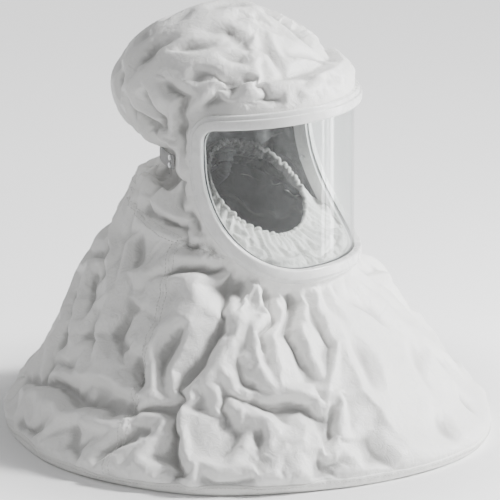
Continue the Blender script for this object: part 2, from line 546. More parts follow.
def on_cloth(bearing, z, lift=0.0):
    """Final positions and normals of the cloth at (bearing in degrees, height in mm), lifted along the normal."""
    bearing, z = np.broadcast_arrays(np.asarray(bearing, float), np.asarray(z, float))
    r = shell_radius(bearing, np.minimum(z, 418.0))
    a = np.radians(bearing)
    base = np.column_stack([r * np.sin(a), -r * np.cos(a), z])
    pos, nor = np.empty_like(base), np.empty_like(base)
    for i, b in enumerate(base):
        q, _, f, _ = BASE_TREE.find_nearest(b)
        A, B, C = P0[TRI[f]]
        v0, v1, v2 = B - A, C - A, np.array(q) - A
        d00, d01, d11, d20, d21 = v0 @ v0, v0 @ v1, v1 @ v1, v2 @ v0, v2 @ v1
        den = max(d00 * d11 - d01 * d01, 1e-12)
        v, w = (d11 * d20 - d01 * d21) / den, (d00 * d21 - d01 * d20) / den
        k = np.array([1 - v - w, v, w])
        pos[i] = k @ P2[TRI[f]]
        n = k @ N2[TRI[f]]
        nor[i] = n / max(np.linalg.norm(n), 1e-9)
    return pos + nor * lift, nor


# ---------------------------------------------------------------- mesh helpers (all lengths in mm)
scene = bpy.context.scene


def make(name, P, faces, mat, slot_name=None, body="hood", stands_for=(), smooth=True, loop_uv=None):
    me = bpy.data.meshes.new(name)
    me.from_pydata((np.asarray(P, float) * MM).tolist(), [], [tuple(int(i) for i in f) for f in faces])
    if loop_uv is not None:
        layer = me.uv_layers.new(name="UVMap")
        layer.data.foreach_set("uv", np.asarray(loop_uv, float).ravel())
    me.materials.append(mat)
    if smooth:
        me.shade_smooth()
    me.update()
    ob = bpy.data.objects.new(name, me)
    scene.collection.objects.link(ob)
    if body:
        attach(ob, body)
    if stands_for:
        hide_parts(*stands_for)
    return ob


def grid_quads(nu, nv, wrap_u=False, wrap_v=False, base=0):
    """Quads of a grid stored as index u * nv + v."""
    out = []
    for i in range(nu if wrap_u else nu - 1):
        for j in range(nv if wrap_v else nv - 1):
            a, b = (i % nu) * nv, ((i + 1) % nu) * nv
            out.append((base + a + j, base + b + j, base + b + (j + 1) % nv, base + a + (j + 1) % nv))
    return out


def fillet(points, radii, n=5):
    """Closed polygon with its corners rounded."""
    out = []
    m = len(points)
    for i in range(m):
        p, a, b = np.array(points[i], float), np.array(points[i - 1], float), np.array(points[(i + 1) % m], float)
        r = radii[i] if hasattr(radii, "__len__") else radii
        u, w = (a - p) / np.linalg.norm(a - p), (b - p) / np.linalg.norm(b - p)
        t = min(r, 0.48 * np.linalg.norm(a - p), 0.48 * np.linalg.norm(b - p))
        if t < 1e-3:
            out.append(p)
            continue
        for k in range(n + 1):
            s = k / n
            out.append((1 - s) ** 2 * (p + u * t) + 2 * s * (1 - s) * p + s * s * (p + w * t))
    return np.array(out)


def tube(path, radius, sides=16, closed=False, cap=True, flat=1.0):
    """A round bar along a path, its radius one number or one per point. Returns points and faces."""
    path = np.asarray(path, float)
    n = len(path)
    rad = np.broadcast_to(np.asarray(radius, float), (n,))
    if closed:
        tan = np.roll(path, -1, 0) - np.roll(path, 1, 0)
    else:
        tan = np.gradient(path, axis=0)
    tan /= np.linalg.norm(tan, axis=1)[:, None]
    ref = np.array([0, 0, 1.0]) if abs(tan[0][2]) < 0.9 else np.array([1.0, 0, 0])
    u = np.cross(tan[0], ref)
    u /= np.linalg.norm(u)
    frames = []
    for t in tan:
        u = u - t * (u @ t)
        u /= np.linalg.norm(u)
        frames.append((u, np.cross(t, u)))
    twist = 0.0
    if closed:
        u_end = frames[-1][0] - tan[0] * (frames[-1][0] @ tan[0])
        twist = math.atan2(u_end @ frames[0][1], u_end @ frames[0][0])
    P = []
    for i, (p, (u, v), r) in enumerate(zip(path, frames, rad)):
        for k in range(sides):
            a = 2 * math.pi * k / sides - (twist * i / n if closed else 0)
            P.append(p + r * (math.cos(a) * u * flat + math.sin(a) * v))
    F = grid_quads(n, sides, closed, True)
    if cap and not closed:
        F.append(tuple(range(sides)))
        F.append(tuple((n - 1) * sides + k for k in range(sides))[::-1])
    return np.array(P), F


def join(parts):
    P, F, base = [], [], 0
    for p, f in parts:
        P.append(np.asarray(p, float))
        F += [tuple(i + base for i in face) for face in f]
        base += len(p)
    return np.vstack(P), F


def smooth_path(points, n, closed=False):
    """Evenly spaced points on a Catmull-Rom curve through the given ones."""
    P = np.asarray(points, float)
    m = len(P)
    idx = range(m if closed else m - 1)
    out = []
    for i in idx:
        p1, p2 = P[i], P[(i + 1) % m]
        p0 = P[i - 1] if (i > 0 or closed) else 2 * p1 - p2
        p3 = P[(i + 2) % m] if (i + 2 < m or closed) else 2 * p2 - p1
        for t in np.linspace(0, 1, 24, endpoint=False):
            out.append(0.5 * (2 * p1 + (p2 - p0) * t + (2 * p0 - 5 * p1 + 4 * p2 - p3) * t**2 + (3 * p1 - 3 * p2 + p3 - p0) * t**3))
    out.append(P[0] if closed else P[-1])
    out = np.array(out)
    L = np.concatenate([[0], np.cumsum(np.linalg.norm(np.diff(out, axis=0), axis=1))])
    q = np.linspace(0, L[-1], n, endpoint=not closed)
    return np.column_stack([np.interp(q, L, out[:, k]) for k in range(3)])


def stitches(points, normals, pitch=4.2, length=3.0, r=0.34):
    """Thread runs lying along a line on the cloth, each dipping in at both ends."""
    L = np.concatenate([[0], np.cumsum(np.linalg.norm(np.diff(points, axis=0), axis=1))])
    parts = []
    for s in np.arange(pitch, L[-1] - pitch, pitch):
        q = np.linspace(s - length / 2, s + length / 2, 5)
        p = np.column_stack([np.interp(q, L, points[:, k]) for k in range(3)])
        n = np.array([np.interp(s, L, normals[:, k]) for k in range(3)])
        n /= max(np.linalg.norm(n), 1e-9)
        if np.linalg.norm(p[4] - p[0]) < 0.5 * length:
            continue
        p = p + n * (np.array([-0.35, 0.12, 0.25, 0.12, -0.35])[:, None])
        parts.append(tube(p, [r * 0.7, r, r * 1.05, r, r * 0.7], 6))
    return join(parts)


# ---------------------------------------------------------------- materials, all from nodes; lengths are in mm through the "mm" mapping
class Nodes:
    def __init__(self, name):
        self.m = bpy.data.materials.new(name)
        self.m.use_nodes = True
        self.t = self.m.node_tree
        self.b = self.t.nodes["Principled BSDF"]
        self.out = self.t.nodes["Material Output"]
        tc = self.t.nodes.new("ShaderNodeTexCoord")
        self.obj, self.uv = self.scaled(tc.outputs["Object"], 1000.0), tc.outputs["UV"]

    def scaled(self, socket, k):
        n = self.t.nodes.new("ShaderNodeMapping")
        n.inputs["Scale"].default_value = (k, k, k) if not hasattr(k, "__len__") else k
        self.t.links.new(socket, n.inputs["Vector"])
        return n.outputs[0]

    def link(self, a, b):
        self.t.links.new(a, b)

    def put(self, sock, v):
        if hasattr(v, "is_linked") or isinstance(v, bpy.types.NodeSocket):
            self.t.links.new(v, sock)
        else:
            sock.default_value = v

    def noise(self, scale_mm, detail=4, rough=0.5, vec=None, distort=0.0):
        n = self.t.nodes.new("ShaderNodeTexNoise")
        n.inputs["Scale"].default_value = 1.0 / scale_mm
        n.inputs["Detail"].default_value = detail
        n.inputs["Roughness"].default_value = rough
        n.inputs["Distortion"].default_value = distort
        self.link(self.obj if vec is None else vec, n.inputs["Vector"])
        return n.outputs["Fac"]

    def cells(self, scale_mm, feature="F1", vec=None):
        n = self.t.nodes.new("ShaderNodeTexVoronoi")
        n.feature = feature
        n.inputs["Scale"].default_value = 1.0 / scale_mm
        self.link(self.obj if vec is None else vec, n.inputs["Vector"])
        return n.outputs["Distance"]

    def wave(self, pitch_mm, axis="X", vec=None, distort=0.0):
        n = self.t.nodes.new("ShaderNodeTexWave")
        n.bands_direction = axis
        n.inputs["Scale"].default_value = 2 * math.pi / (20.0 * pitch_mm)
        n.inputs["Distortion"].default_value = distort
        self.link(self.obj if vec is None else vec, n.inputs["Vector"])
        return n.outputs["Fac"]

    def math(self, op, a, b=None, c=None):
        n = self.t.nodes.new("ShaderNodeMath")
        n.operation = op
        for i, v in enumerate((a, b, c)):
            if v is not None:
                self.put(n.inputs[i], v)
        return n.outputs[0]

    def ramp(self, fac, lo, hi, a=0.0, b=1.0):
        n = self.t.nodes.new("ShaderNodeMapRange")
        n.interpolation_type = "SMOOTHSTEP"
        self.put(n.inputs["Value"], fac)
        for k, v in (("From Min", lo), ("From Max", hi), ("To Min", a), ("To Max", b)):
            n.inputs[k].default_value = v
        return n.outputs[0]

    def mix(self, fac, a, b):
        n = self.t.nodes.new("ShaderNodeMix")
        n.data_type = "RGBA"
        self.put(n.inputs["Factor"], fac)
        for s, v in ((n.inputs[6], a), (n.inputs[7], b)):
            self.put(s, v if hasattr(v, "is_linked") else (*v[:3], 1.0))
        return n.outputs[2]

    def pointiness(self):
        return self.t.nodes.new("ShaderNodeNewGeometry").outputs["Pointiness"]

    def bump(self, height, strength, dist_mm, before=None):
        n = self.t.nodes.new("ShaderNodeBump")
        n.inputs["Strength"].default_value = strength
        n.inputs["Distance"].default_value = dist_mm * MM
        self.link(height, n.inputs["Height"])
        if before is not None:
            self.link(before, n.inputs["Normal"])
        return n.outputs[0]

    def set(self, **kw):
        for k, v in kw.items():
            self.put(self.b.inputs[k.replace("_", " ")], v)
        return self.m


def shade(c, k):
    return tuple(min(x * k, 1.0) for x in c[:3])


def cloth_material(name, col, uv_weave=True, grid=5.0, crinkle=1.0, rough=0.42, grey=0.62, fade=None):
    """Coated ripstop: fine plain weave, a raised thread grid, small crinkles, handling grey in the creases."""
    m = Nodes(name)
    uv = m.uv if uv_weave else m.obj
    tone = m.noise(60.0, 4, 0.55)
    spots = m.noise(7.0, 5, 0.6)
    crease = m.ramp(m.pointiness(), 0.40, 0.50)
    base = m.mix(m.ramp(tone, 0.35, 0.7), shade(col, 0.955), col)
    base = m.mix(m.ramp(spots, 0.62, 0.9, 0.0, 0.18), base, shade(col, 0.86))
    base = m.mix(m.math("MULTIPLY", m.math("SUBTRACT", 1.0, crease), 0.4), base, shade(col, 0.70))
    depth = m.t.nodes.new("ShaderNodeAttribute")
    depth.attribute_name = "fold_depth"
    base = m.mix(m.ramp(depth.outputs["Fac"], 0.15, 1.0, 0.0, grey), base, shade(col, 0.30))
    if fade is not None:  # a smoky tint that deepens towards the back
        xyz = m.t.nodes.new("ShaderNodeSeparateXYZ")
        m.link(m.obj, xyz.inputs[0])
        base = m.mix(m.ramp(xyz.outputs["Y"], fade[0], fade[1]), base, shade(col, fade[2]))
    weave = m.math("MAXIMUM", m.wave(0.55, "X", uv), m.wave(0.55, "Y", uv))
    gx, gy = m.wave(grid, "X", uv), m.wave(grid, "Y", uv)
    rip = m.math("MAXIMUM", m.ramp(gx, 0.965, 1.0), m.ramp(gy, 0.965, 1.0))
    b1 = m.bump(m.noise(11.0, 7, 0.6, distort=1.1), 0.7 * crinkle, 2.4)
    b2 = m.bump(m.noise(3.2, 4, 0.55), 0.35 * crinkle, 0.6, b1)
    b3 = m.bump(rip, 0.35, 0.12, b2)
    b4 = m.bump(weave, 0.25, 0.06, b3)
    ro = m.math("ADD", m.ramp(spots, 0.2, 0.8, rough - 0.05, rough + 0.10), m.math("MULTIPLY", rip, 0.06))
    m.set(Base_Color=base, Roughness=ro, Normal=b4, Sheen_Weight=0.18, Sheen_Roughness=0.45, Coat_Weight=0.12, Coat_Roughness=0.3,
          Specular_IOR_Level=0.42)
    return m.m


def moulded(name, col, rough=0.42, grain=0.8, strength=0.12, coat=0.0, wear=0.5):
    m = Nodes(name)
    tone = m.noise(28.0, 3, 0.5)
    base = m.mix(m.ramp(tone, 0.3, 0.72), shade(col, 0.93), shade(col, 1.02))
    edge = m.ramp(m.pointiness(), 0.515, 0.60, 0.0, wear)
    base = m.mix(m.math("MULTIPLY", edge, m.ramp(m.noise(3.0, 4, 0.6), 0.35, 0.6)), base, tuple(min(0.5 * x + 0.5, 1) for x in col[:3]))
    dirt = m.ramp(m.pointiness(), 0.44, 0.49)
    base = m.mix(m.math("MULTIPLY", m.math("SUBTRACT", 1.0, dirt), 0.5), base, shade(col, 0.6))
    ro = m.ramp(m.noise(11.0, 5, 0.6), 0.3, 0.7, rough - 0.05, rough + 0.09)
    n1 = m.bump(m.noise(grain, 2, 0.5), strength, 0.10)
    n2 = m.bump(m.noise(16.0, 2, 0.4), 0.06, 0.5, n1)
    m.set(Base_Color=base, Roughness=ro, Normal=n2, Coat_Weight=coat, Coat_Roughness=0.18)
    return m.m


def metal(name, col, rough=0.3, lay=(1.0, 1.0, 0.06), strength=0.2):
    m = Nodes(name)
    lines = m.noise(0.5, 4, 0.6, m.scaled(m.obj, lay))
    smudge = m.noise(14.0, 5, 0.55)
    base = m.mix(m.ramp(smudge, 0.3, 0.75), shade(col, 0.86), col)
    base = m.mix(m.ramp(m.pointiness(), 0.52, 0.6, 0.0, 0.6), base, tuple(min(0.6 * x + 0.4, 1) for x in col[:3]))
    ro = m.math("ADD", m.ramp(smudge, 0.25, 0.75, rough - 0.06, rough + 0.1), m.math("MULTIPLY", lines, 0.12))
    m.set(Base_Color=base, Metallic=1.0, Roughness=ro, Normal=m.bump(lines, strength, 0.05), Anisotropic=0.35)
    return m.m


def rubbery(name, col, rough=0.6, grain=0.5):
    m = Nodes(name)
    base = m.mix(m.ramp(m.noise(18.0, 4, 0.6), 0.3, 0.7), shade(col, 0.85), shade(col, 1.12))
    bloom = m.ramp(m.noise(5.0, 5, 0.65), 0.55, 0.8, 0.0, 0.25)
    base = m.mix(bloom, base, tuple(min(x * 0.7 + 0.12, 1) for x in col[:3]))
    m.set(Base_Color=base, Roughness=m.ramp(m.noise(8.0, 4, 0.6), 0.3, 0.7, rough - 0.08, rough + 0.1),
          Normal=m.bump(m.noise(grain, 3, 0.5), 0.25, 0.08), Sheen_Weight=0.08)
    return m.m


def woven(name, col, pitch=1.1, rough=0.75, twill=True, fade=None):
    m = Nodes(name)
    a = m.wave(pitch, "DIAGONAL" if twill else "X")
    b = m.wave(pitch * 0.8, "Z")
    h = m.math("MULTIPLY", m.math("ADD", a, b), 0.5)
    base = m.mix(m.ramp(h, 0.15, 0.75), shade(col, 0.62), shade(col, 1.08))
    base = m.mix(m.ramp(m.noise(2.2, 5, 0.7), 0.55, 0.8, 0.0, 0.35), base, shade(col, 1.3))
    if fade is not None:
        xyz = m.t.nodes.new("ShaderNodeSeparateXYZ")
        m.link(m.obj, xyz.inputs[0])
        base = m.mix(m.ramp(xyz.outputs["Y"], fade[0], fade[1]), base, shade(col, fade[2]))
    m.set(Base_Color=base, Roughness=rough, Normal=m.bump(m.noise(0.35, 2, 0.6), 0.25, 0.08, m.bump(h, 0.7, 0.25)), Sheen_Weight=0.35 if fade is None else 0.02)
    return m.m


def grainy(name, col, cell=1.6, rough=0.8, depth=0.6):
    m = Nodes(name)
    v = m.cells(cell)
    base = m.mix(m.ramp(v, 0.1, 0.7), shade(col, 1.05), shade(col, 0.55))
    base = m.mix(m.ramp(m.noise(6.0, 4, 0.6), 0.4, 0.7, 0.0, 0.4), base, shade(col, 0.8))
    m.set(Base_Color=base, Roughness=rough, Normal=m.bump(m.math("SUBTRACT", 1.0, v), 0.9, depth))
    return m.m


def clear_film(name):
    """Thin clear sheet: transparent straight through, mirror-like at a glance, with faint wipe marks."""
    m = Nodes(name)
    t = m.t
    t.nodes.remove(m.b)
    clear = t.nodes.new("ShaderNodeBsdfTransparent")
    clear.inputs["Color"].default_value = (0.965, 0.978, 0.975, 1)
    gloss = t.nodes.new("ShaderNodeBsdfGlossy")
    marks = m.noise(1.2, 5, 0.7, m.scaled(m.obj, (1.0, 1.0, 0.08)))
    m.put(gloss.inputs["Roughness"], m.ramp(m.noise(22.0, 4, 0.6), 0.3, 0.75, 0.02, 0.07))
    m.put(gloss.inputs["Normal"], m.bump(marks, 0.05, 0.03))
    lw = t.nodes.new("ShaderNodeLayerWeight")
    lw.inputs["Blend"].default_value = 0.5
    fres = m.math("ADD", 0.035, m.math("MULTIPLY", m.math("POWER", lw.outputs["Facing"], 4.0), 0.75))
    haze = t.nodes.new("ShaderNodeBsdfDiffuse")
    haze.inputs["Color"].default_value = (0.9, 0.93, 0.93, 1)
    mix1, mix2 = t.nodes.new("ShaderNodeMixShader"), t.nodes.new("ShaderNodeMixShader")
    m.put(mix1.inputs[0], fres)
    m.link(clear.outputs[0], mix1.inputs[1])
    m.link(gloss.outputs[0], mix1.inputs[2])
    m.put(mix2.inputs[0], m.ramp(m.noise(30.0, 6, 0.7), 0.45, 0.8, 0.004, 0.03))
    m.link(mix1.outputs[0], mix2.inputs[1])
    m.link(haze.outputs[0], mix2.inputs[2])
    m.link(mix2.outputs[0], m.out.inputs["Surface"])
    return m.m


WHITE = (0.93, 0.925, 0.905)
M_FABRIC = cloth_material("coated_ripstop", WHITE)
M_LINING = cloth_material("coated_lining", (0.13, 0.132, 0.136), rough=0.5)
M_HEM = cloth_material("folded_tape", (0.87, 0.865, 0.84), uv_weave=False, grid=3.0, crinkle=0.5, rough=0.55)
M_THREAD = woven("thread", (0.82, 0.815, 0.79), 0.5, 0.6)
M_RIM = moulded("satin_rim", (0.84, 0.84, 0.83), 0.26, 0.7, 0.05, coat=0.25, wear=0.1)
M_LENS = clear_film("clear_film")
M_SEAL = cloth_material("neck_film", (0.88, 0.87, 0.845), uv_weave=False, grid=60.0, crinkle=1.3, rough=0.38, fade=(-10.0, 22.0, 0.10))
M_ELASTIC = woven("covered_elastic", (0.80, 0.79, 0.76), 0.9, 0.7, twill=False, fade=(-10.0, 20.0, 0.06))
M_STRAP = woven("webbing", (0.42, 0.42, 0.42), 1.3, 0.75)

# ---------------------------------------------------------------- hood: crown and the two cape panels, cut along their seams
cen = P0[TRI].mean(axis=1)
cen_b = np.degrees(np.arctan2(cen[:, 0], -cen[:, 1]))
above = cen[:, 2] > seam_height(cen_b)
panel = np.where(above, 0, np.where(cen[:, 1] < 18.0, 1, 2))
slant = 0.47
for k, (name, node, mid) in enumerate((("crown_cloth", "hood_crown", 0.0), ("cape_front_cloth", "cape_front", 0.0), ("cape_back_cloth", "cape_back", 180.0))):
    tri = TRI[panel == k]
    ids = np.unique(tri)
    back_ix = -np.ones(len(P0), int)
    back_ix[ids] = np.arange(len(ids))
    lp = tri.ravel()
    b = (PAR[lp, 0] - mid + 180) % 360 - 180
    b = b.reshape(-1, 3)
    wide = b.max(1) - b.min(1) > 180
    b[wide] = np.where(b[wide] < 0, b[wide] + 360, b[wide])
    b = np.radians(b.ravel())
    rr = np.hypot(P0[lp, 0], P0[lp, 1])
    if k == 0:
        uv = np.column_stack([b * 106.0, PAR[lp, 1]])
    else:
        rho = rr / slant
        uv = np.column_stack([rho * np.sin(slant * b), rho * np.cos(slant * b)])
    ob = make(name, P2[ids] + N2[ids] * 0.55, back_ix[tri], M_FABRIC, "shell_fabric", stands_for=(node,), loop_uv=uv)
    layer = ob.data.attributes.new("fold_depth", "FLOAT", "POINT")
    layer.data.foreach_set("value", FOLD_DEPTH[ids].astype(np.float32))
    s = ob.modifiers.new("smooth", "SUBSURF")
    s.levels = s.render_levels = 1
    ob.data.materials.append(M_LINING)
    t = ob.modifiers.new("thickness", "SOLIDIFY")
    t.thickness, t.offset, t.material_offset = 0.9 * MM, -1.0, 1

# seams: two rows of thread beside the neck seam, the side seams and the hem
rows = []
for off in (-3.2, 3.2):
    bb = np.linspace(-180, 180, 260)
    zz = seam_height(bb) + off
    ok = outline_gap(np.radians(bb) * REF, zz) > 10.5
    runs = np.split(np.arange(len(bb)), np.where(np.diff(ok.astype(int)) != 0)[0] + 1)
    for r in runs:
        if ok[r[0]] and len(r) > 3:
            rows.append(on_cloth(bb[r], zz[r], 0.75))
    for sx in (1, -1):
        zs = np.linspace(9.0, 214.0, 70)
        ang = []
        for z in zs:
            lo, hi = 60.0, 130.0
            for _ in range(26):
                mid_a = 0.5 * (lo + hi)
                y = -shell_radius(np.array([mid_a]), np.array([z]))[0] * math.cos(math.radians(mid_a))
                lo, hi = (mid_a, hi) if y < 18.0 + off else (lo, mid_a)
            ang.append(sx * 0.5 * (lo + hi))
        zs_ok = zs < seam_height(np.array(ang)) - 2
        rows.append(on_cloth(np.array(ang)[zs_ok], zs[zs_ok], 0.75))
sew = join([stitches(p, n) for p, n in rows])
make("panel_stitching", *sew, M_THREAD, "shell_fabric")

# hem: a folded tape wrapped round the raw edge, drawn up slightly by its thread
bb = np.linspace(-180, 180, 540, endpoint=False)
section = []
pucker = 0.28 * np.sin(np.radians(bb) * 173) + 0.2 * np.sin(np.radians(bb) * 97 + 1.0)
for z, out in ((10.0, 1.15), (9.2, 1.75), (7.0, 2.1), (4.6, 2.25), (2.4, 2.1), (0.6, 1.4)):
    p, n = on_cloth(bb, z, 0.0)
    section.append(p + n * (out + pucker * (0.4 + 0.06 * z))[:, None])
for z, out in ((0.6, -1.2), (2.4, -1.7), (4.6, -1.8), (7.0, -1.7), (9.2, -1.4), (10.0, -1.0)):
    p, n = on_cloth(bb, z, 0.0)
    section.append(p + n * (out + pucker * 0.4)[:, None])
H = np.stack(section, axis=1)
H[:, 5, 2], H[:, 6, 2] = 0.35, 0.35
H[:, :, 2] = np.maximum(H[:, :, 2], 0.3)
hem = make("hem_tape_fold", H.reshape(-1, 3), grid_quads(len(bb), H.shape[1], True, True), M_HEM, "hem_tape", stands_for=("hem_binding",))
s = hem.modifiers.new("smooth", "SUBSURF")
s.levels = s.render_levels = 1
bs = np.linspace(-179.5, 180, 520)
p, n = on_cloth(bs, 7.6, 2.35)
make("hem_stitching", *stitches(p, n, 4.0, 2.8, 0.32), M_THREAD, "hem_tape")

# ---------------------------------------------------------------- visor rim: rounded bead with a stepped outer lip
line = outline(0.0, 420)
tg = np.roll(line, -1, 0) - np.roll(line, 1, 0)
tg /= np.linalg.norm(tg, axis=1)[:, None]
out2 = np.column_stack([tg[:, 1], -tg[:, 0]])
bead = fillet([(-7.45, 104.45), (-7.45, 111.3), (-3.0, 112.0), (2.6, 111.75), (3.0, 109.45), (7.45, 109.1), (7.45, 104.45)],
              [0.3, 3.6, 2.2, 0.7, 0.35, 1.5, 0.3], 5)
Pr = []
for d, r in bead:
    q = line + out2 * d
    Pr.append(on_cyl(r, q[:, 0], q[:, 1]))
Pr = np.stack(Pr, axis=1)
make("visor_rim", Pr.reshape(-1, 3), grid_quads(len(line), len(bead), True, True), M_RIM, "rim", stands_for=("visor_frame",))

# ---------------------------------------------------------------- inner neck seal: thin sheet gathered to a frilled elastic edge
NU, NV = 300, 24
fi = np.linspace(0, 2 * math.pi, NU, endpoint=False)
tt = np.linspace(0, 1, NV)
k_out = 1.03 + 0.02 * sstep((-np.cos(fi) - 0.2) / 0.8)
outer = np.column_stack([95.4 * k_out * np.sin(fi), -1.4 - 94.0 * k_out * np.cos(fi), 219.7 - 39.0 * np.cos(fi)])
inner = np.column_stack([67.8 * np.sin(fi), -8 - 40.6 * np.cos(fi), 246.3 - 40.4 * np.cos(fi)])
S = outer[:, None] * (1 - tt)[None, :, None] + inner[:, None] * tt[None, :, None]
Tq = []
for i in range(NU):
    for j in range(NV - 1):
        a, b = i * NV + j, ((i + 1) % NU) * NV + j
        Tq += [(a, b, b + 1), (a, b + 1, a + 1)] if (i + j) % 2 else [(a, b, a + 1), (b, b + 1, a + 1)]
Tq = np.array(Tq)
S = S.reshape(-1, 3)
Ns = vertex_normals(S, Tq)
if Ns[:, 2].mean() < 0:
    Ns, Tq = -Ns, Tq[:, ::-1]
FI, TT = np.repeat(fi, NV), np.tile(tt, NU)
ph = 0.5 * np.sin(3 * FI + 0.4) + 0.35 * np.sin(7 * FI + 2.0)
ruf = (0.3 + 1.7 * TT**1.8) * (0.6 * np.sin(51 * FI + 6 * ph) + 0.5 * np.sin(33 * FI - 5 * ph + 1.0) + 0.35 * np.sin(13 * FI + 3 * ph))
mac = np.zeros(len(S))
rs = np.random.RandomState(23)
for _ in range(46):  # short random creases in the sheet
    f0, t0, fl, tl = rs.uniform(0, 2 * math.pi), rs.uniform(0.12, 0.85), rs.uniform(-0.22, 0.22), rs.uniform(0.10, 0.42)
    a, b = np.array([f0 - fl, t0 - tl / 2]), np.array([f0 + fl, t0 + tl / 2])
    w2 = np.array([85.0, 45.0])
    df = np.column_stack([((FI - a[0] + math.pi) % (2 * math.pi) - math.pi), TT - a[1]]) * w2
    ab = (b - a) * w2
    s_ = np.clip(df @ ab / (ab @ ab), 0, 1)
    dist = np.linalg.norm(df - s_[:, None] * ab, axis=1)
    mac += rs.choice([-1, 1]) * rs.uniform(1.6, 3.6) * np.exp(-((dist / rs.uniform(2.6, 5.0)) ** 1.4)) * np.sin(np.pi * np.clip(s_, 0.05, 0.95)) ** 0.4
port_d = np.minimum(np.linalg.norm(S - np.array([41.9, 55.6, 268.0]), axis=1), np.linalg.norm(S - np.array([-41.9, 55.6, 268.0]), axis=1))
calm_s = sstep((port_d - 15) / 9) * sstep(TT / 0.12)
S1 = S + Ns * ((ruf + mac * sstep((0.97 - TT) / 0.2)) * calm_s)[:, None]
hold_s = np.maximum(np.maximum(1 - sstep(TT / 0.1), 1 - sstep((port_d - 15) / 8)), np.maximum(0.22, sstep((TT - 0.9) / 0.1)))
S2 = settle(S1, Tq, hold_s, 18, 0.13, 4.0)
keep = ~(port_d < 9.4)[Tq].any(axis=1)
seal = make("neck_seal_sheet", S2, Tq[keep], M_SEAL, "neck_film", stands_for=("neck_seal",))
s = seal.modifiers.new("smooth", "SUBSURF")
s.levels = s.render_levels = 1
t = seal.modifiers.new("thickness", "SOLIDIFY")
t.thickness, t.offset = 0.6 * MM, 0.0
edge = S2.reshape(NU, NV, 3)[:, -1]
edge = smooth_path(edge, 720, True)
aa = np.linspace(0, 2 * math.pi, 720, endpoint=False)
scallop = 1.75 + 0.55 * np.abs(np.sin(38 * aa + 3 * np.sin(5 * aa))) + 0.2 * np.sin(23 * aa + 1.0)
casing = make("neck_seal_frill", *tube(edge, scallop, 14, closed=True), M_ELASTIC, "elastic", stands_for=("neck_seal_elastic",))

# ---------------------------------------------------------------- nape strap: woven elastic with raised selvedges
a0 = np.radians(np.linspace(-62, 62, 250))
sec = fillet([(88.55, 277.5), (88.55, 292.5), (90.0, 292.5), (90.0, 277.5)], 0.5, 3)
rib = []
for (r, z) in sec:
    sel = 0.18 * np.exp(-(((abs(z - 285.0) - 6.6) / 0.7) ** 2)) * (1 if r > 89.3 else -1)
    ripple = 0.10 * np.sin(a0 * 160.0) * (1 if r > 89.3 else 0.5)
    rad = r + sel + ripple
    rib.append(np.column_stack([rad * np.sin(a0), rad * np.cos(a0), np.full(a0.shape, z)]))
rib = np.stack(rib, axis=1)
F = grid_quads(len(a0), len(sec), False, True)
F += [tuple(range(len(sec))), tuple((len(a0) - 1) * len(sec) + i for i in range(len(sec)))[::-1]]
make("nape_strap_woven", rib.reshape(-1, 3), F, M_STRAP, "webbing", stands_for=("nape_strap",))


# ---------------------------------------------------------------- breathing pack: soft parts
def pack(x, y, z):
    """Pack axes (across, inward, up the slope) to the hood's axes."""
    x, y, z = np.broadcast_arrays(x, y, z)
    return np.stack([-x + 0.0 * y, 143.0 - 0.87631 * y - 0.48175 * z, 170.0 - 0.48175 * y + 0.87631 * z], axis=-1)


port_pos = {1: np.array([41.9, 55.6, 268.0]), -1: np.array([-41.9, 55.6, 268.0])}
lo_c, hi_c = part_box("port_fitting_left")
if (lo_c.x + hi_c.x) < 0:
    port_pos = {1: port_pos[-1], -1: port_pos[1]}
M_HOSE = rubbery("ribbed_rubber", (0.055, 0.055, 0.06), 0.55, 0.6)
for sgn, node, name in ((1, "supply_hose", "supply_hose_ribbed"), (-1, "return_hose", "return_hose_ribbed")):
    base_p = pack(-sgn * 45.0, 20.0, 54.0)
    up_p = pack(0.0, 0.0, 1.0) - pack(0.0, 0.0, 0.0)
    sx = 1.0 if base_p[0] > 0 else -1.0
    axis = np.array([sx * 0.414, 0.375, 0.829])
    pos = np.array([sx * 41.9, 55.6, 268.0])
    end = pos - axis * 3.0
    knee, rise = base_p + up_p * 13, end - axis * 12
    midp = (knee + rise) * 0.5 + np.array([0, -7.0, -2.0])
    h = np.linalg.norm(rise - knee) / 2
    mt = (rise - knee) / np.linalg.norm(rise - knee)
    pts = [base_p, base_p + up_p * 6.5]
    for p0_, t0_, p1_, t1_ in ((knee, up_p, midp, mt), (midp, mt, rise, axis)):
        for u in np.linspace(0, 1, 12, endpoint=False):
            pts.append((2 * u**3 - 3 * u**2 + 1) * p0_ + (u**3 - 2 * u**2 + u) * t0_ * h + (-2 * u**3 + 3 * u**2) * p1_ + (u**3 - u**2) * t1_ * h)
    pts += [rise, end - axis * 6, end]
    path = smooth_path(pts, 400)
    L = np.concatenate([[0], np.cumsum(np.linalg.norm(np.diff(path, axis=0), axis=1))])
    plain = np.minimum(sstep((L - 9) / 3), sstep((L[-1] - 9 - L) / 3))
    rad = 6.35 + 0.55 * plain * np.cos(2 * math.pi * L / 3.6) + 0.4 * (1 - plain)
    ho = tube(path, rad, 28, cap=False)
    hi = tube(path, np.full(len(path), 5.3), 28, cap=False)
    P_, F_ = join([ho, (hi[0], [f[::-1] for f in hi[1]])])
    n0 = len(ho[0])
    for e in (0, (len(path) - 1) * 28):
        for k in range(28):
            f = (e + k, e + (k + 1) % 28, n0 + e + (k + 1) % 28, n0 + e + k)
            F_.append(f if e else f[::-1])
    make(name, P_, F_, M_HOSE, "hose_rubber", stands_for=(node,))

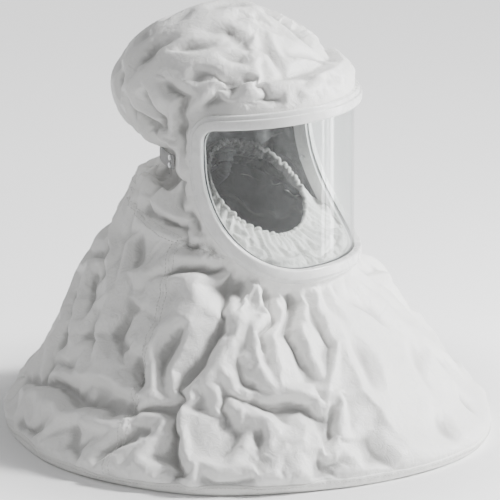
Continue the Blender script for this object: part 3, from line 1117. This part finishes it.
# cushioned pad on the pack's inner face, moulded with channels
U = np.linspace(-1, 1, 61)
X, Z = np.meshgrid(U * 41.9, U * 43.9, indexing="ij")
cx, cz = np.abs(X) / 41.9, np.abs(Z) / 43.9
rim_k = (1 - np.clip(cx, 0, 1) ** 6) * (1 - np.clip(cz, 0, 1) ** 6)
chan = np.minimum(1, np.abs(np.sin(X / 42 * math.pi * 1.5)) * 4) * np.minimum(1, np.abs(np.cos(Z / 44 * math.pi * 1.5)) * 4)
top = 41.2 + 5.2 * np.clip(rim_k, 0, 1) ** 0.35 * (0.80 + 0.20 * chan)
corner = np.maximum(np.hypot(np.maximum(np.abs(X) - 32.9, 0), np.maximum(np.abs(Z) - 34.9, 0)) / 9.0, 1.0)
Xr = np.where((np.abs(X) > 32.9) & (np.abs(Z) > 34.9), np.sign(X) * (32.9 + (np.abs(X) - 32.9) / corner), X)
Zr = np.where((np.abs(X) > 32.9) & (np.abs(Z) > 34.9), np.sign(Z) * (34.9 + (np.abs(Z) - 34.9) / corner), Z)
A_ = pack(Xr, top, Zr).reshape(-1, 3)
B_ = pack(Xr, np.full_like(Xr, 40.6), Zr).reshape(-1, 3)
F_ = grid_quads(61, 61)
n0 = len(A_)
ring = [(i, 0) for i in range(60)] + [(60, j) for j in range(60)] + [(i, 60) for i in range(60, 0, -1)] + [(0, j) for j in range(60, 0, -1)]
ring = [i * 61 + j for i, j in ring]
FF = F_ + [tuple(n0 + k for k in f[::-1]) for f in F_] + [(ring[i], n0 + ring[i], n0 + ring[(i + 1) % len(ring)], ring[(i + 1) % len(ring)]) for i in range(len(ring))]
M_FOAM = grainy("closed_cell_foam", (0.20, 0.215, 0.23), 0.8, 0.9, 0.15)
pad = make("neck_pad_cushion", np.vstack([A_, B_]), FF, M_FOAM, "foam", stands_for=("neck_pad",))

# ---------------------------------------------------------------- finishes for the parts kept from the solid model
M = {
    "clamp": moulded("moulded_clamp", (0.70, 0.70, 0.69), 0.5, 0.9, 0.12),
    "window_tape": woven("bonded_tape", (0.76, 0.76, 0.74), 0.8, 0.7, twill=False),
    "seal_rubber": rubbery("gasket_rubber", (0.10, 0.10, 0.105)),
    "stainless": metal("brushed_stainless", (0.66, 0.67, 0.68), 0.28),
    "port": metal("anodised", (0.14, 0.145, 0.15), 0.42, (1.0, 1.0, 1.0), 0.1),
    "slider": moulded("slider_moulding", (0.06, 0.06, 0.065), 0.45, 0.7, 0.25),
    "valve": moulded("valve_moulding", (0.84, 0.835, 0.81), 0.30, 0.7, 0.06, coat=0.2, wear=0.2),
    "valve_rubber": rubbery("silicone", (0.55, 0.22, 0.13), 0.45),
    "pack_plastic": moulded("textured_moulding", (0.20, 0.215, 0.22), 0.55, 1.1, 0.5),
    "button": moulded("button_moulding", (0.82, 0.815, 0.79), 0.38, 0.7, 0.08, coat=0.1, wear=0.2),
    "screen": metal("perforated_screen", (0.62, 0.63, 0.64), 0.38),
    "absorbent": grainy("absorbent_granules", (0.86, 0.85, 0.80), 2.2, 0.85, 0.9),
    "core": grainy("pressed_powder", (0.55, 0.53, 0.49), 0.7, 0.9, 0.2),
    "lagging": grainy("fibre_mat", (0.88, 0.87, 0.83), 0.9, 0.95, 0.5),
    "filter": grainy("fibre_felt", (0.48, 0.49, 0.48), 0.5, 0.95, 0.3),
    "brass": metal("turned_brass", (0.72, 0.53, 0.24), 0.26, (0.05, 1.0, 1.0), 0.15),
    "pull": moulded("painted_ring", (0.62, 0.055, 0.03), 0.28, 2.5, 0.06, coat=0.5, wear=0.8),
}
shown_mats = {s["node"]: s["material_slot"] for s in frame["record"]["subparts"]}
for node, ob in frame["nodes"].items():
    if ob.hide_render:
        continue
    m = M_LENS if shown_mats[node] == "lens" else M[shown_mats[node]]
    ob.data.materials.clear()
    ob.data.materials.append(m)

# relief valve spring with closed end turns; it shortens as the disc lifts
lo_s, hi_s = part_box("relief_valve_spring")
lift_axis = np.array([0.84839, 0.49987, -0.17424])
mid_s = (np.array(lo_s) + np.array(hi_s)) * 500.0
side_1 = np.cross(lift_axis, [0.0, 0.0, 1.0])
side_1 /= np.linalg.norm(side_1)
side_2 = np.cross(lift_axis, side_1)
u = np.linspace(0, 1, 181)
rise = np.interp(u, [0, 0.15, 0.85, 1], [0, 0.07, 0.93, 1.0]) * 5.6 - 2.8
turn = 2 * math.pi * 5 * u
coil = mid_s + np.outer(rise, lift_axis) + 4.6 * (np.outer(np.cos(turn), side_1) + np.outer(np.sin(turn), side_2))
spring = make("relief_valve_spring_wire", *tube(coil, 0.34, 14), M["stainless"], "stainless", stands_for=("relief_valve_spring",))
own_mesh(spring)

# ---------------------------------------------------------------- stage, light, camera
floor_m = Nodes("floor_paint")
length = floor_m.t.nodes.new("ShaderNodeVectorMath")
length.operation = "LENGTH"
floor_m.link(floor_m.obj, length.inputs[0])
ray = floor_m.t.nodes.new("ShaderNodeLightPath").outputs["Is Diffuse Ray"]
glow = floor_m.math("MULTIPLY", floor_m.ramp(length.outputs["Value"], 235.0, 420.0, 0.0, 0.92), floor_m.math("SUBTRACT", 1.0, ray))
floor_m.set(Base_Color=floor_m.mix(floor_m.ramp(floor_m.noise(900.0, 3, 0.5), 0.3, 0.7), (0.86, 0.86, 0.86), (0.90, 0.90, 0.90)), Roughness=0.9,
            Specular_IOR_Level=0.1, Emission_Color=(1.0, 1.0, 1.0, 1.0), Emission_Strength=glow)
bpy.ops.mesh.primitive_plane_add(size=60)
floor = bpy.context.object
floor.name = "floor"
floor.data.materials.append(floor_m.m)

world = bpy.data.worlds.new("studio")
scene.world = world
world.use_nodes = True
world.node_tree.nodes["Background"].inputs[0].default_value = (0.97, 0.98, 1.0, 1)
world.node_tree.nodes["Background"].inputs[1].default_value = 0.26


def lamp(name, loc, sx, sy, power, target=(0, 0, 0.2)):
    l = bpy.data.lights.new(name, "AREA")
    l.shape, l.size, l.size_y, l.energy = "RECTANGLE", sx, sy, power
    o = bpy.data.objects.new(name, l)
    scene.collection.objects.link(o)
    o.location = loc
    o.rotation_euler = (Vector(target) - Vector(loc)).to_track_quat("-Z", "Y").to_euler()
    o.visible_camera = False
    return o


lamp("key", (0.62, -1.15, 1.30), 0.28, 0.28, 68)
lamp("side", (-1.9, -0.2, 0.9), 0.6, 0.9, 3.5)
lamp("back", (-0.4, 1.6, 1.7), 0.9, 0.9, 9)
for ang, w, e in ((24.0, 0.03, 2.2), (31.0, 0.02, 1.4), (38.0, 0.07, 4.0)):  # tall strips that the clear sheet mirrors as upright streaks
    a = math.radians(ang)
    lamp(f"strip_{int(ang)}", (0.75 * math.sin(a), -0.75 * math.cos(a), 0.12), w, 0.9, e, (0, 0, 0.12))

cam_data = bpy.data.cameras.new("camera")
cam = bpy.data.objects.new("camera", cam_data)
scene.collection.objects.link(cam)
scene.camera = cam
el = math.radians(16.0)
toward = Vector((-0.866 * math.cos(el), -0.5 * math.cos(el), math.sin(el)))
cam.location = Vector((0, 0, 0.1808)) + toward * 9.0
cam.rotation_euler = (-toward).to_track_quat("-Z", "Y").to_euler()
cam_data.sensor_width = 36.0
cam_data.lens = 18.0 / (0.2505 / 9.0)
cam_data.clip_start, cam_data.clip_end = 0.1, 100.0
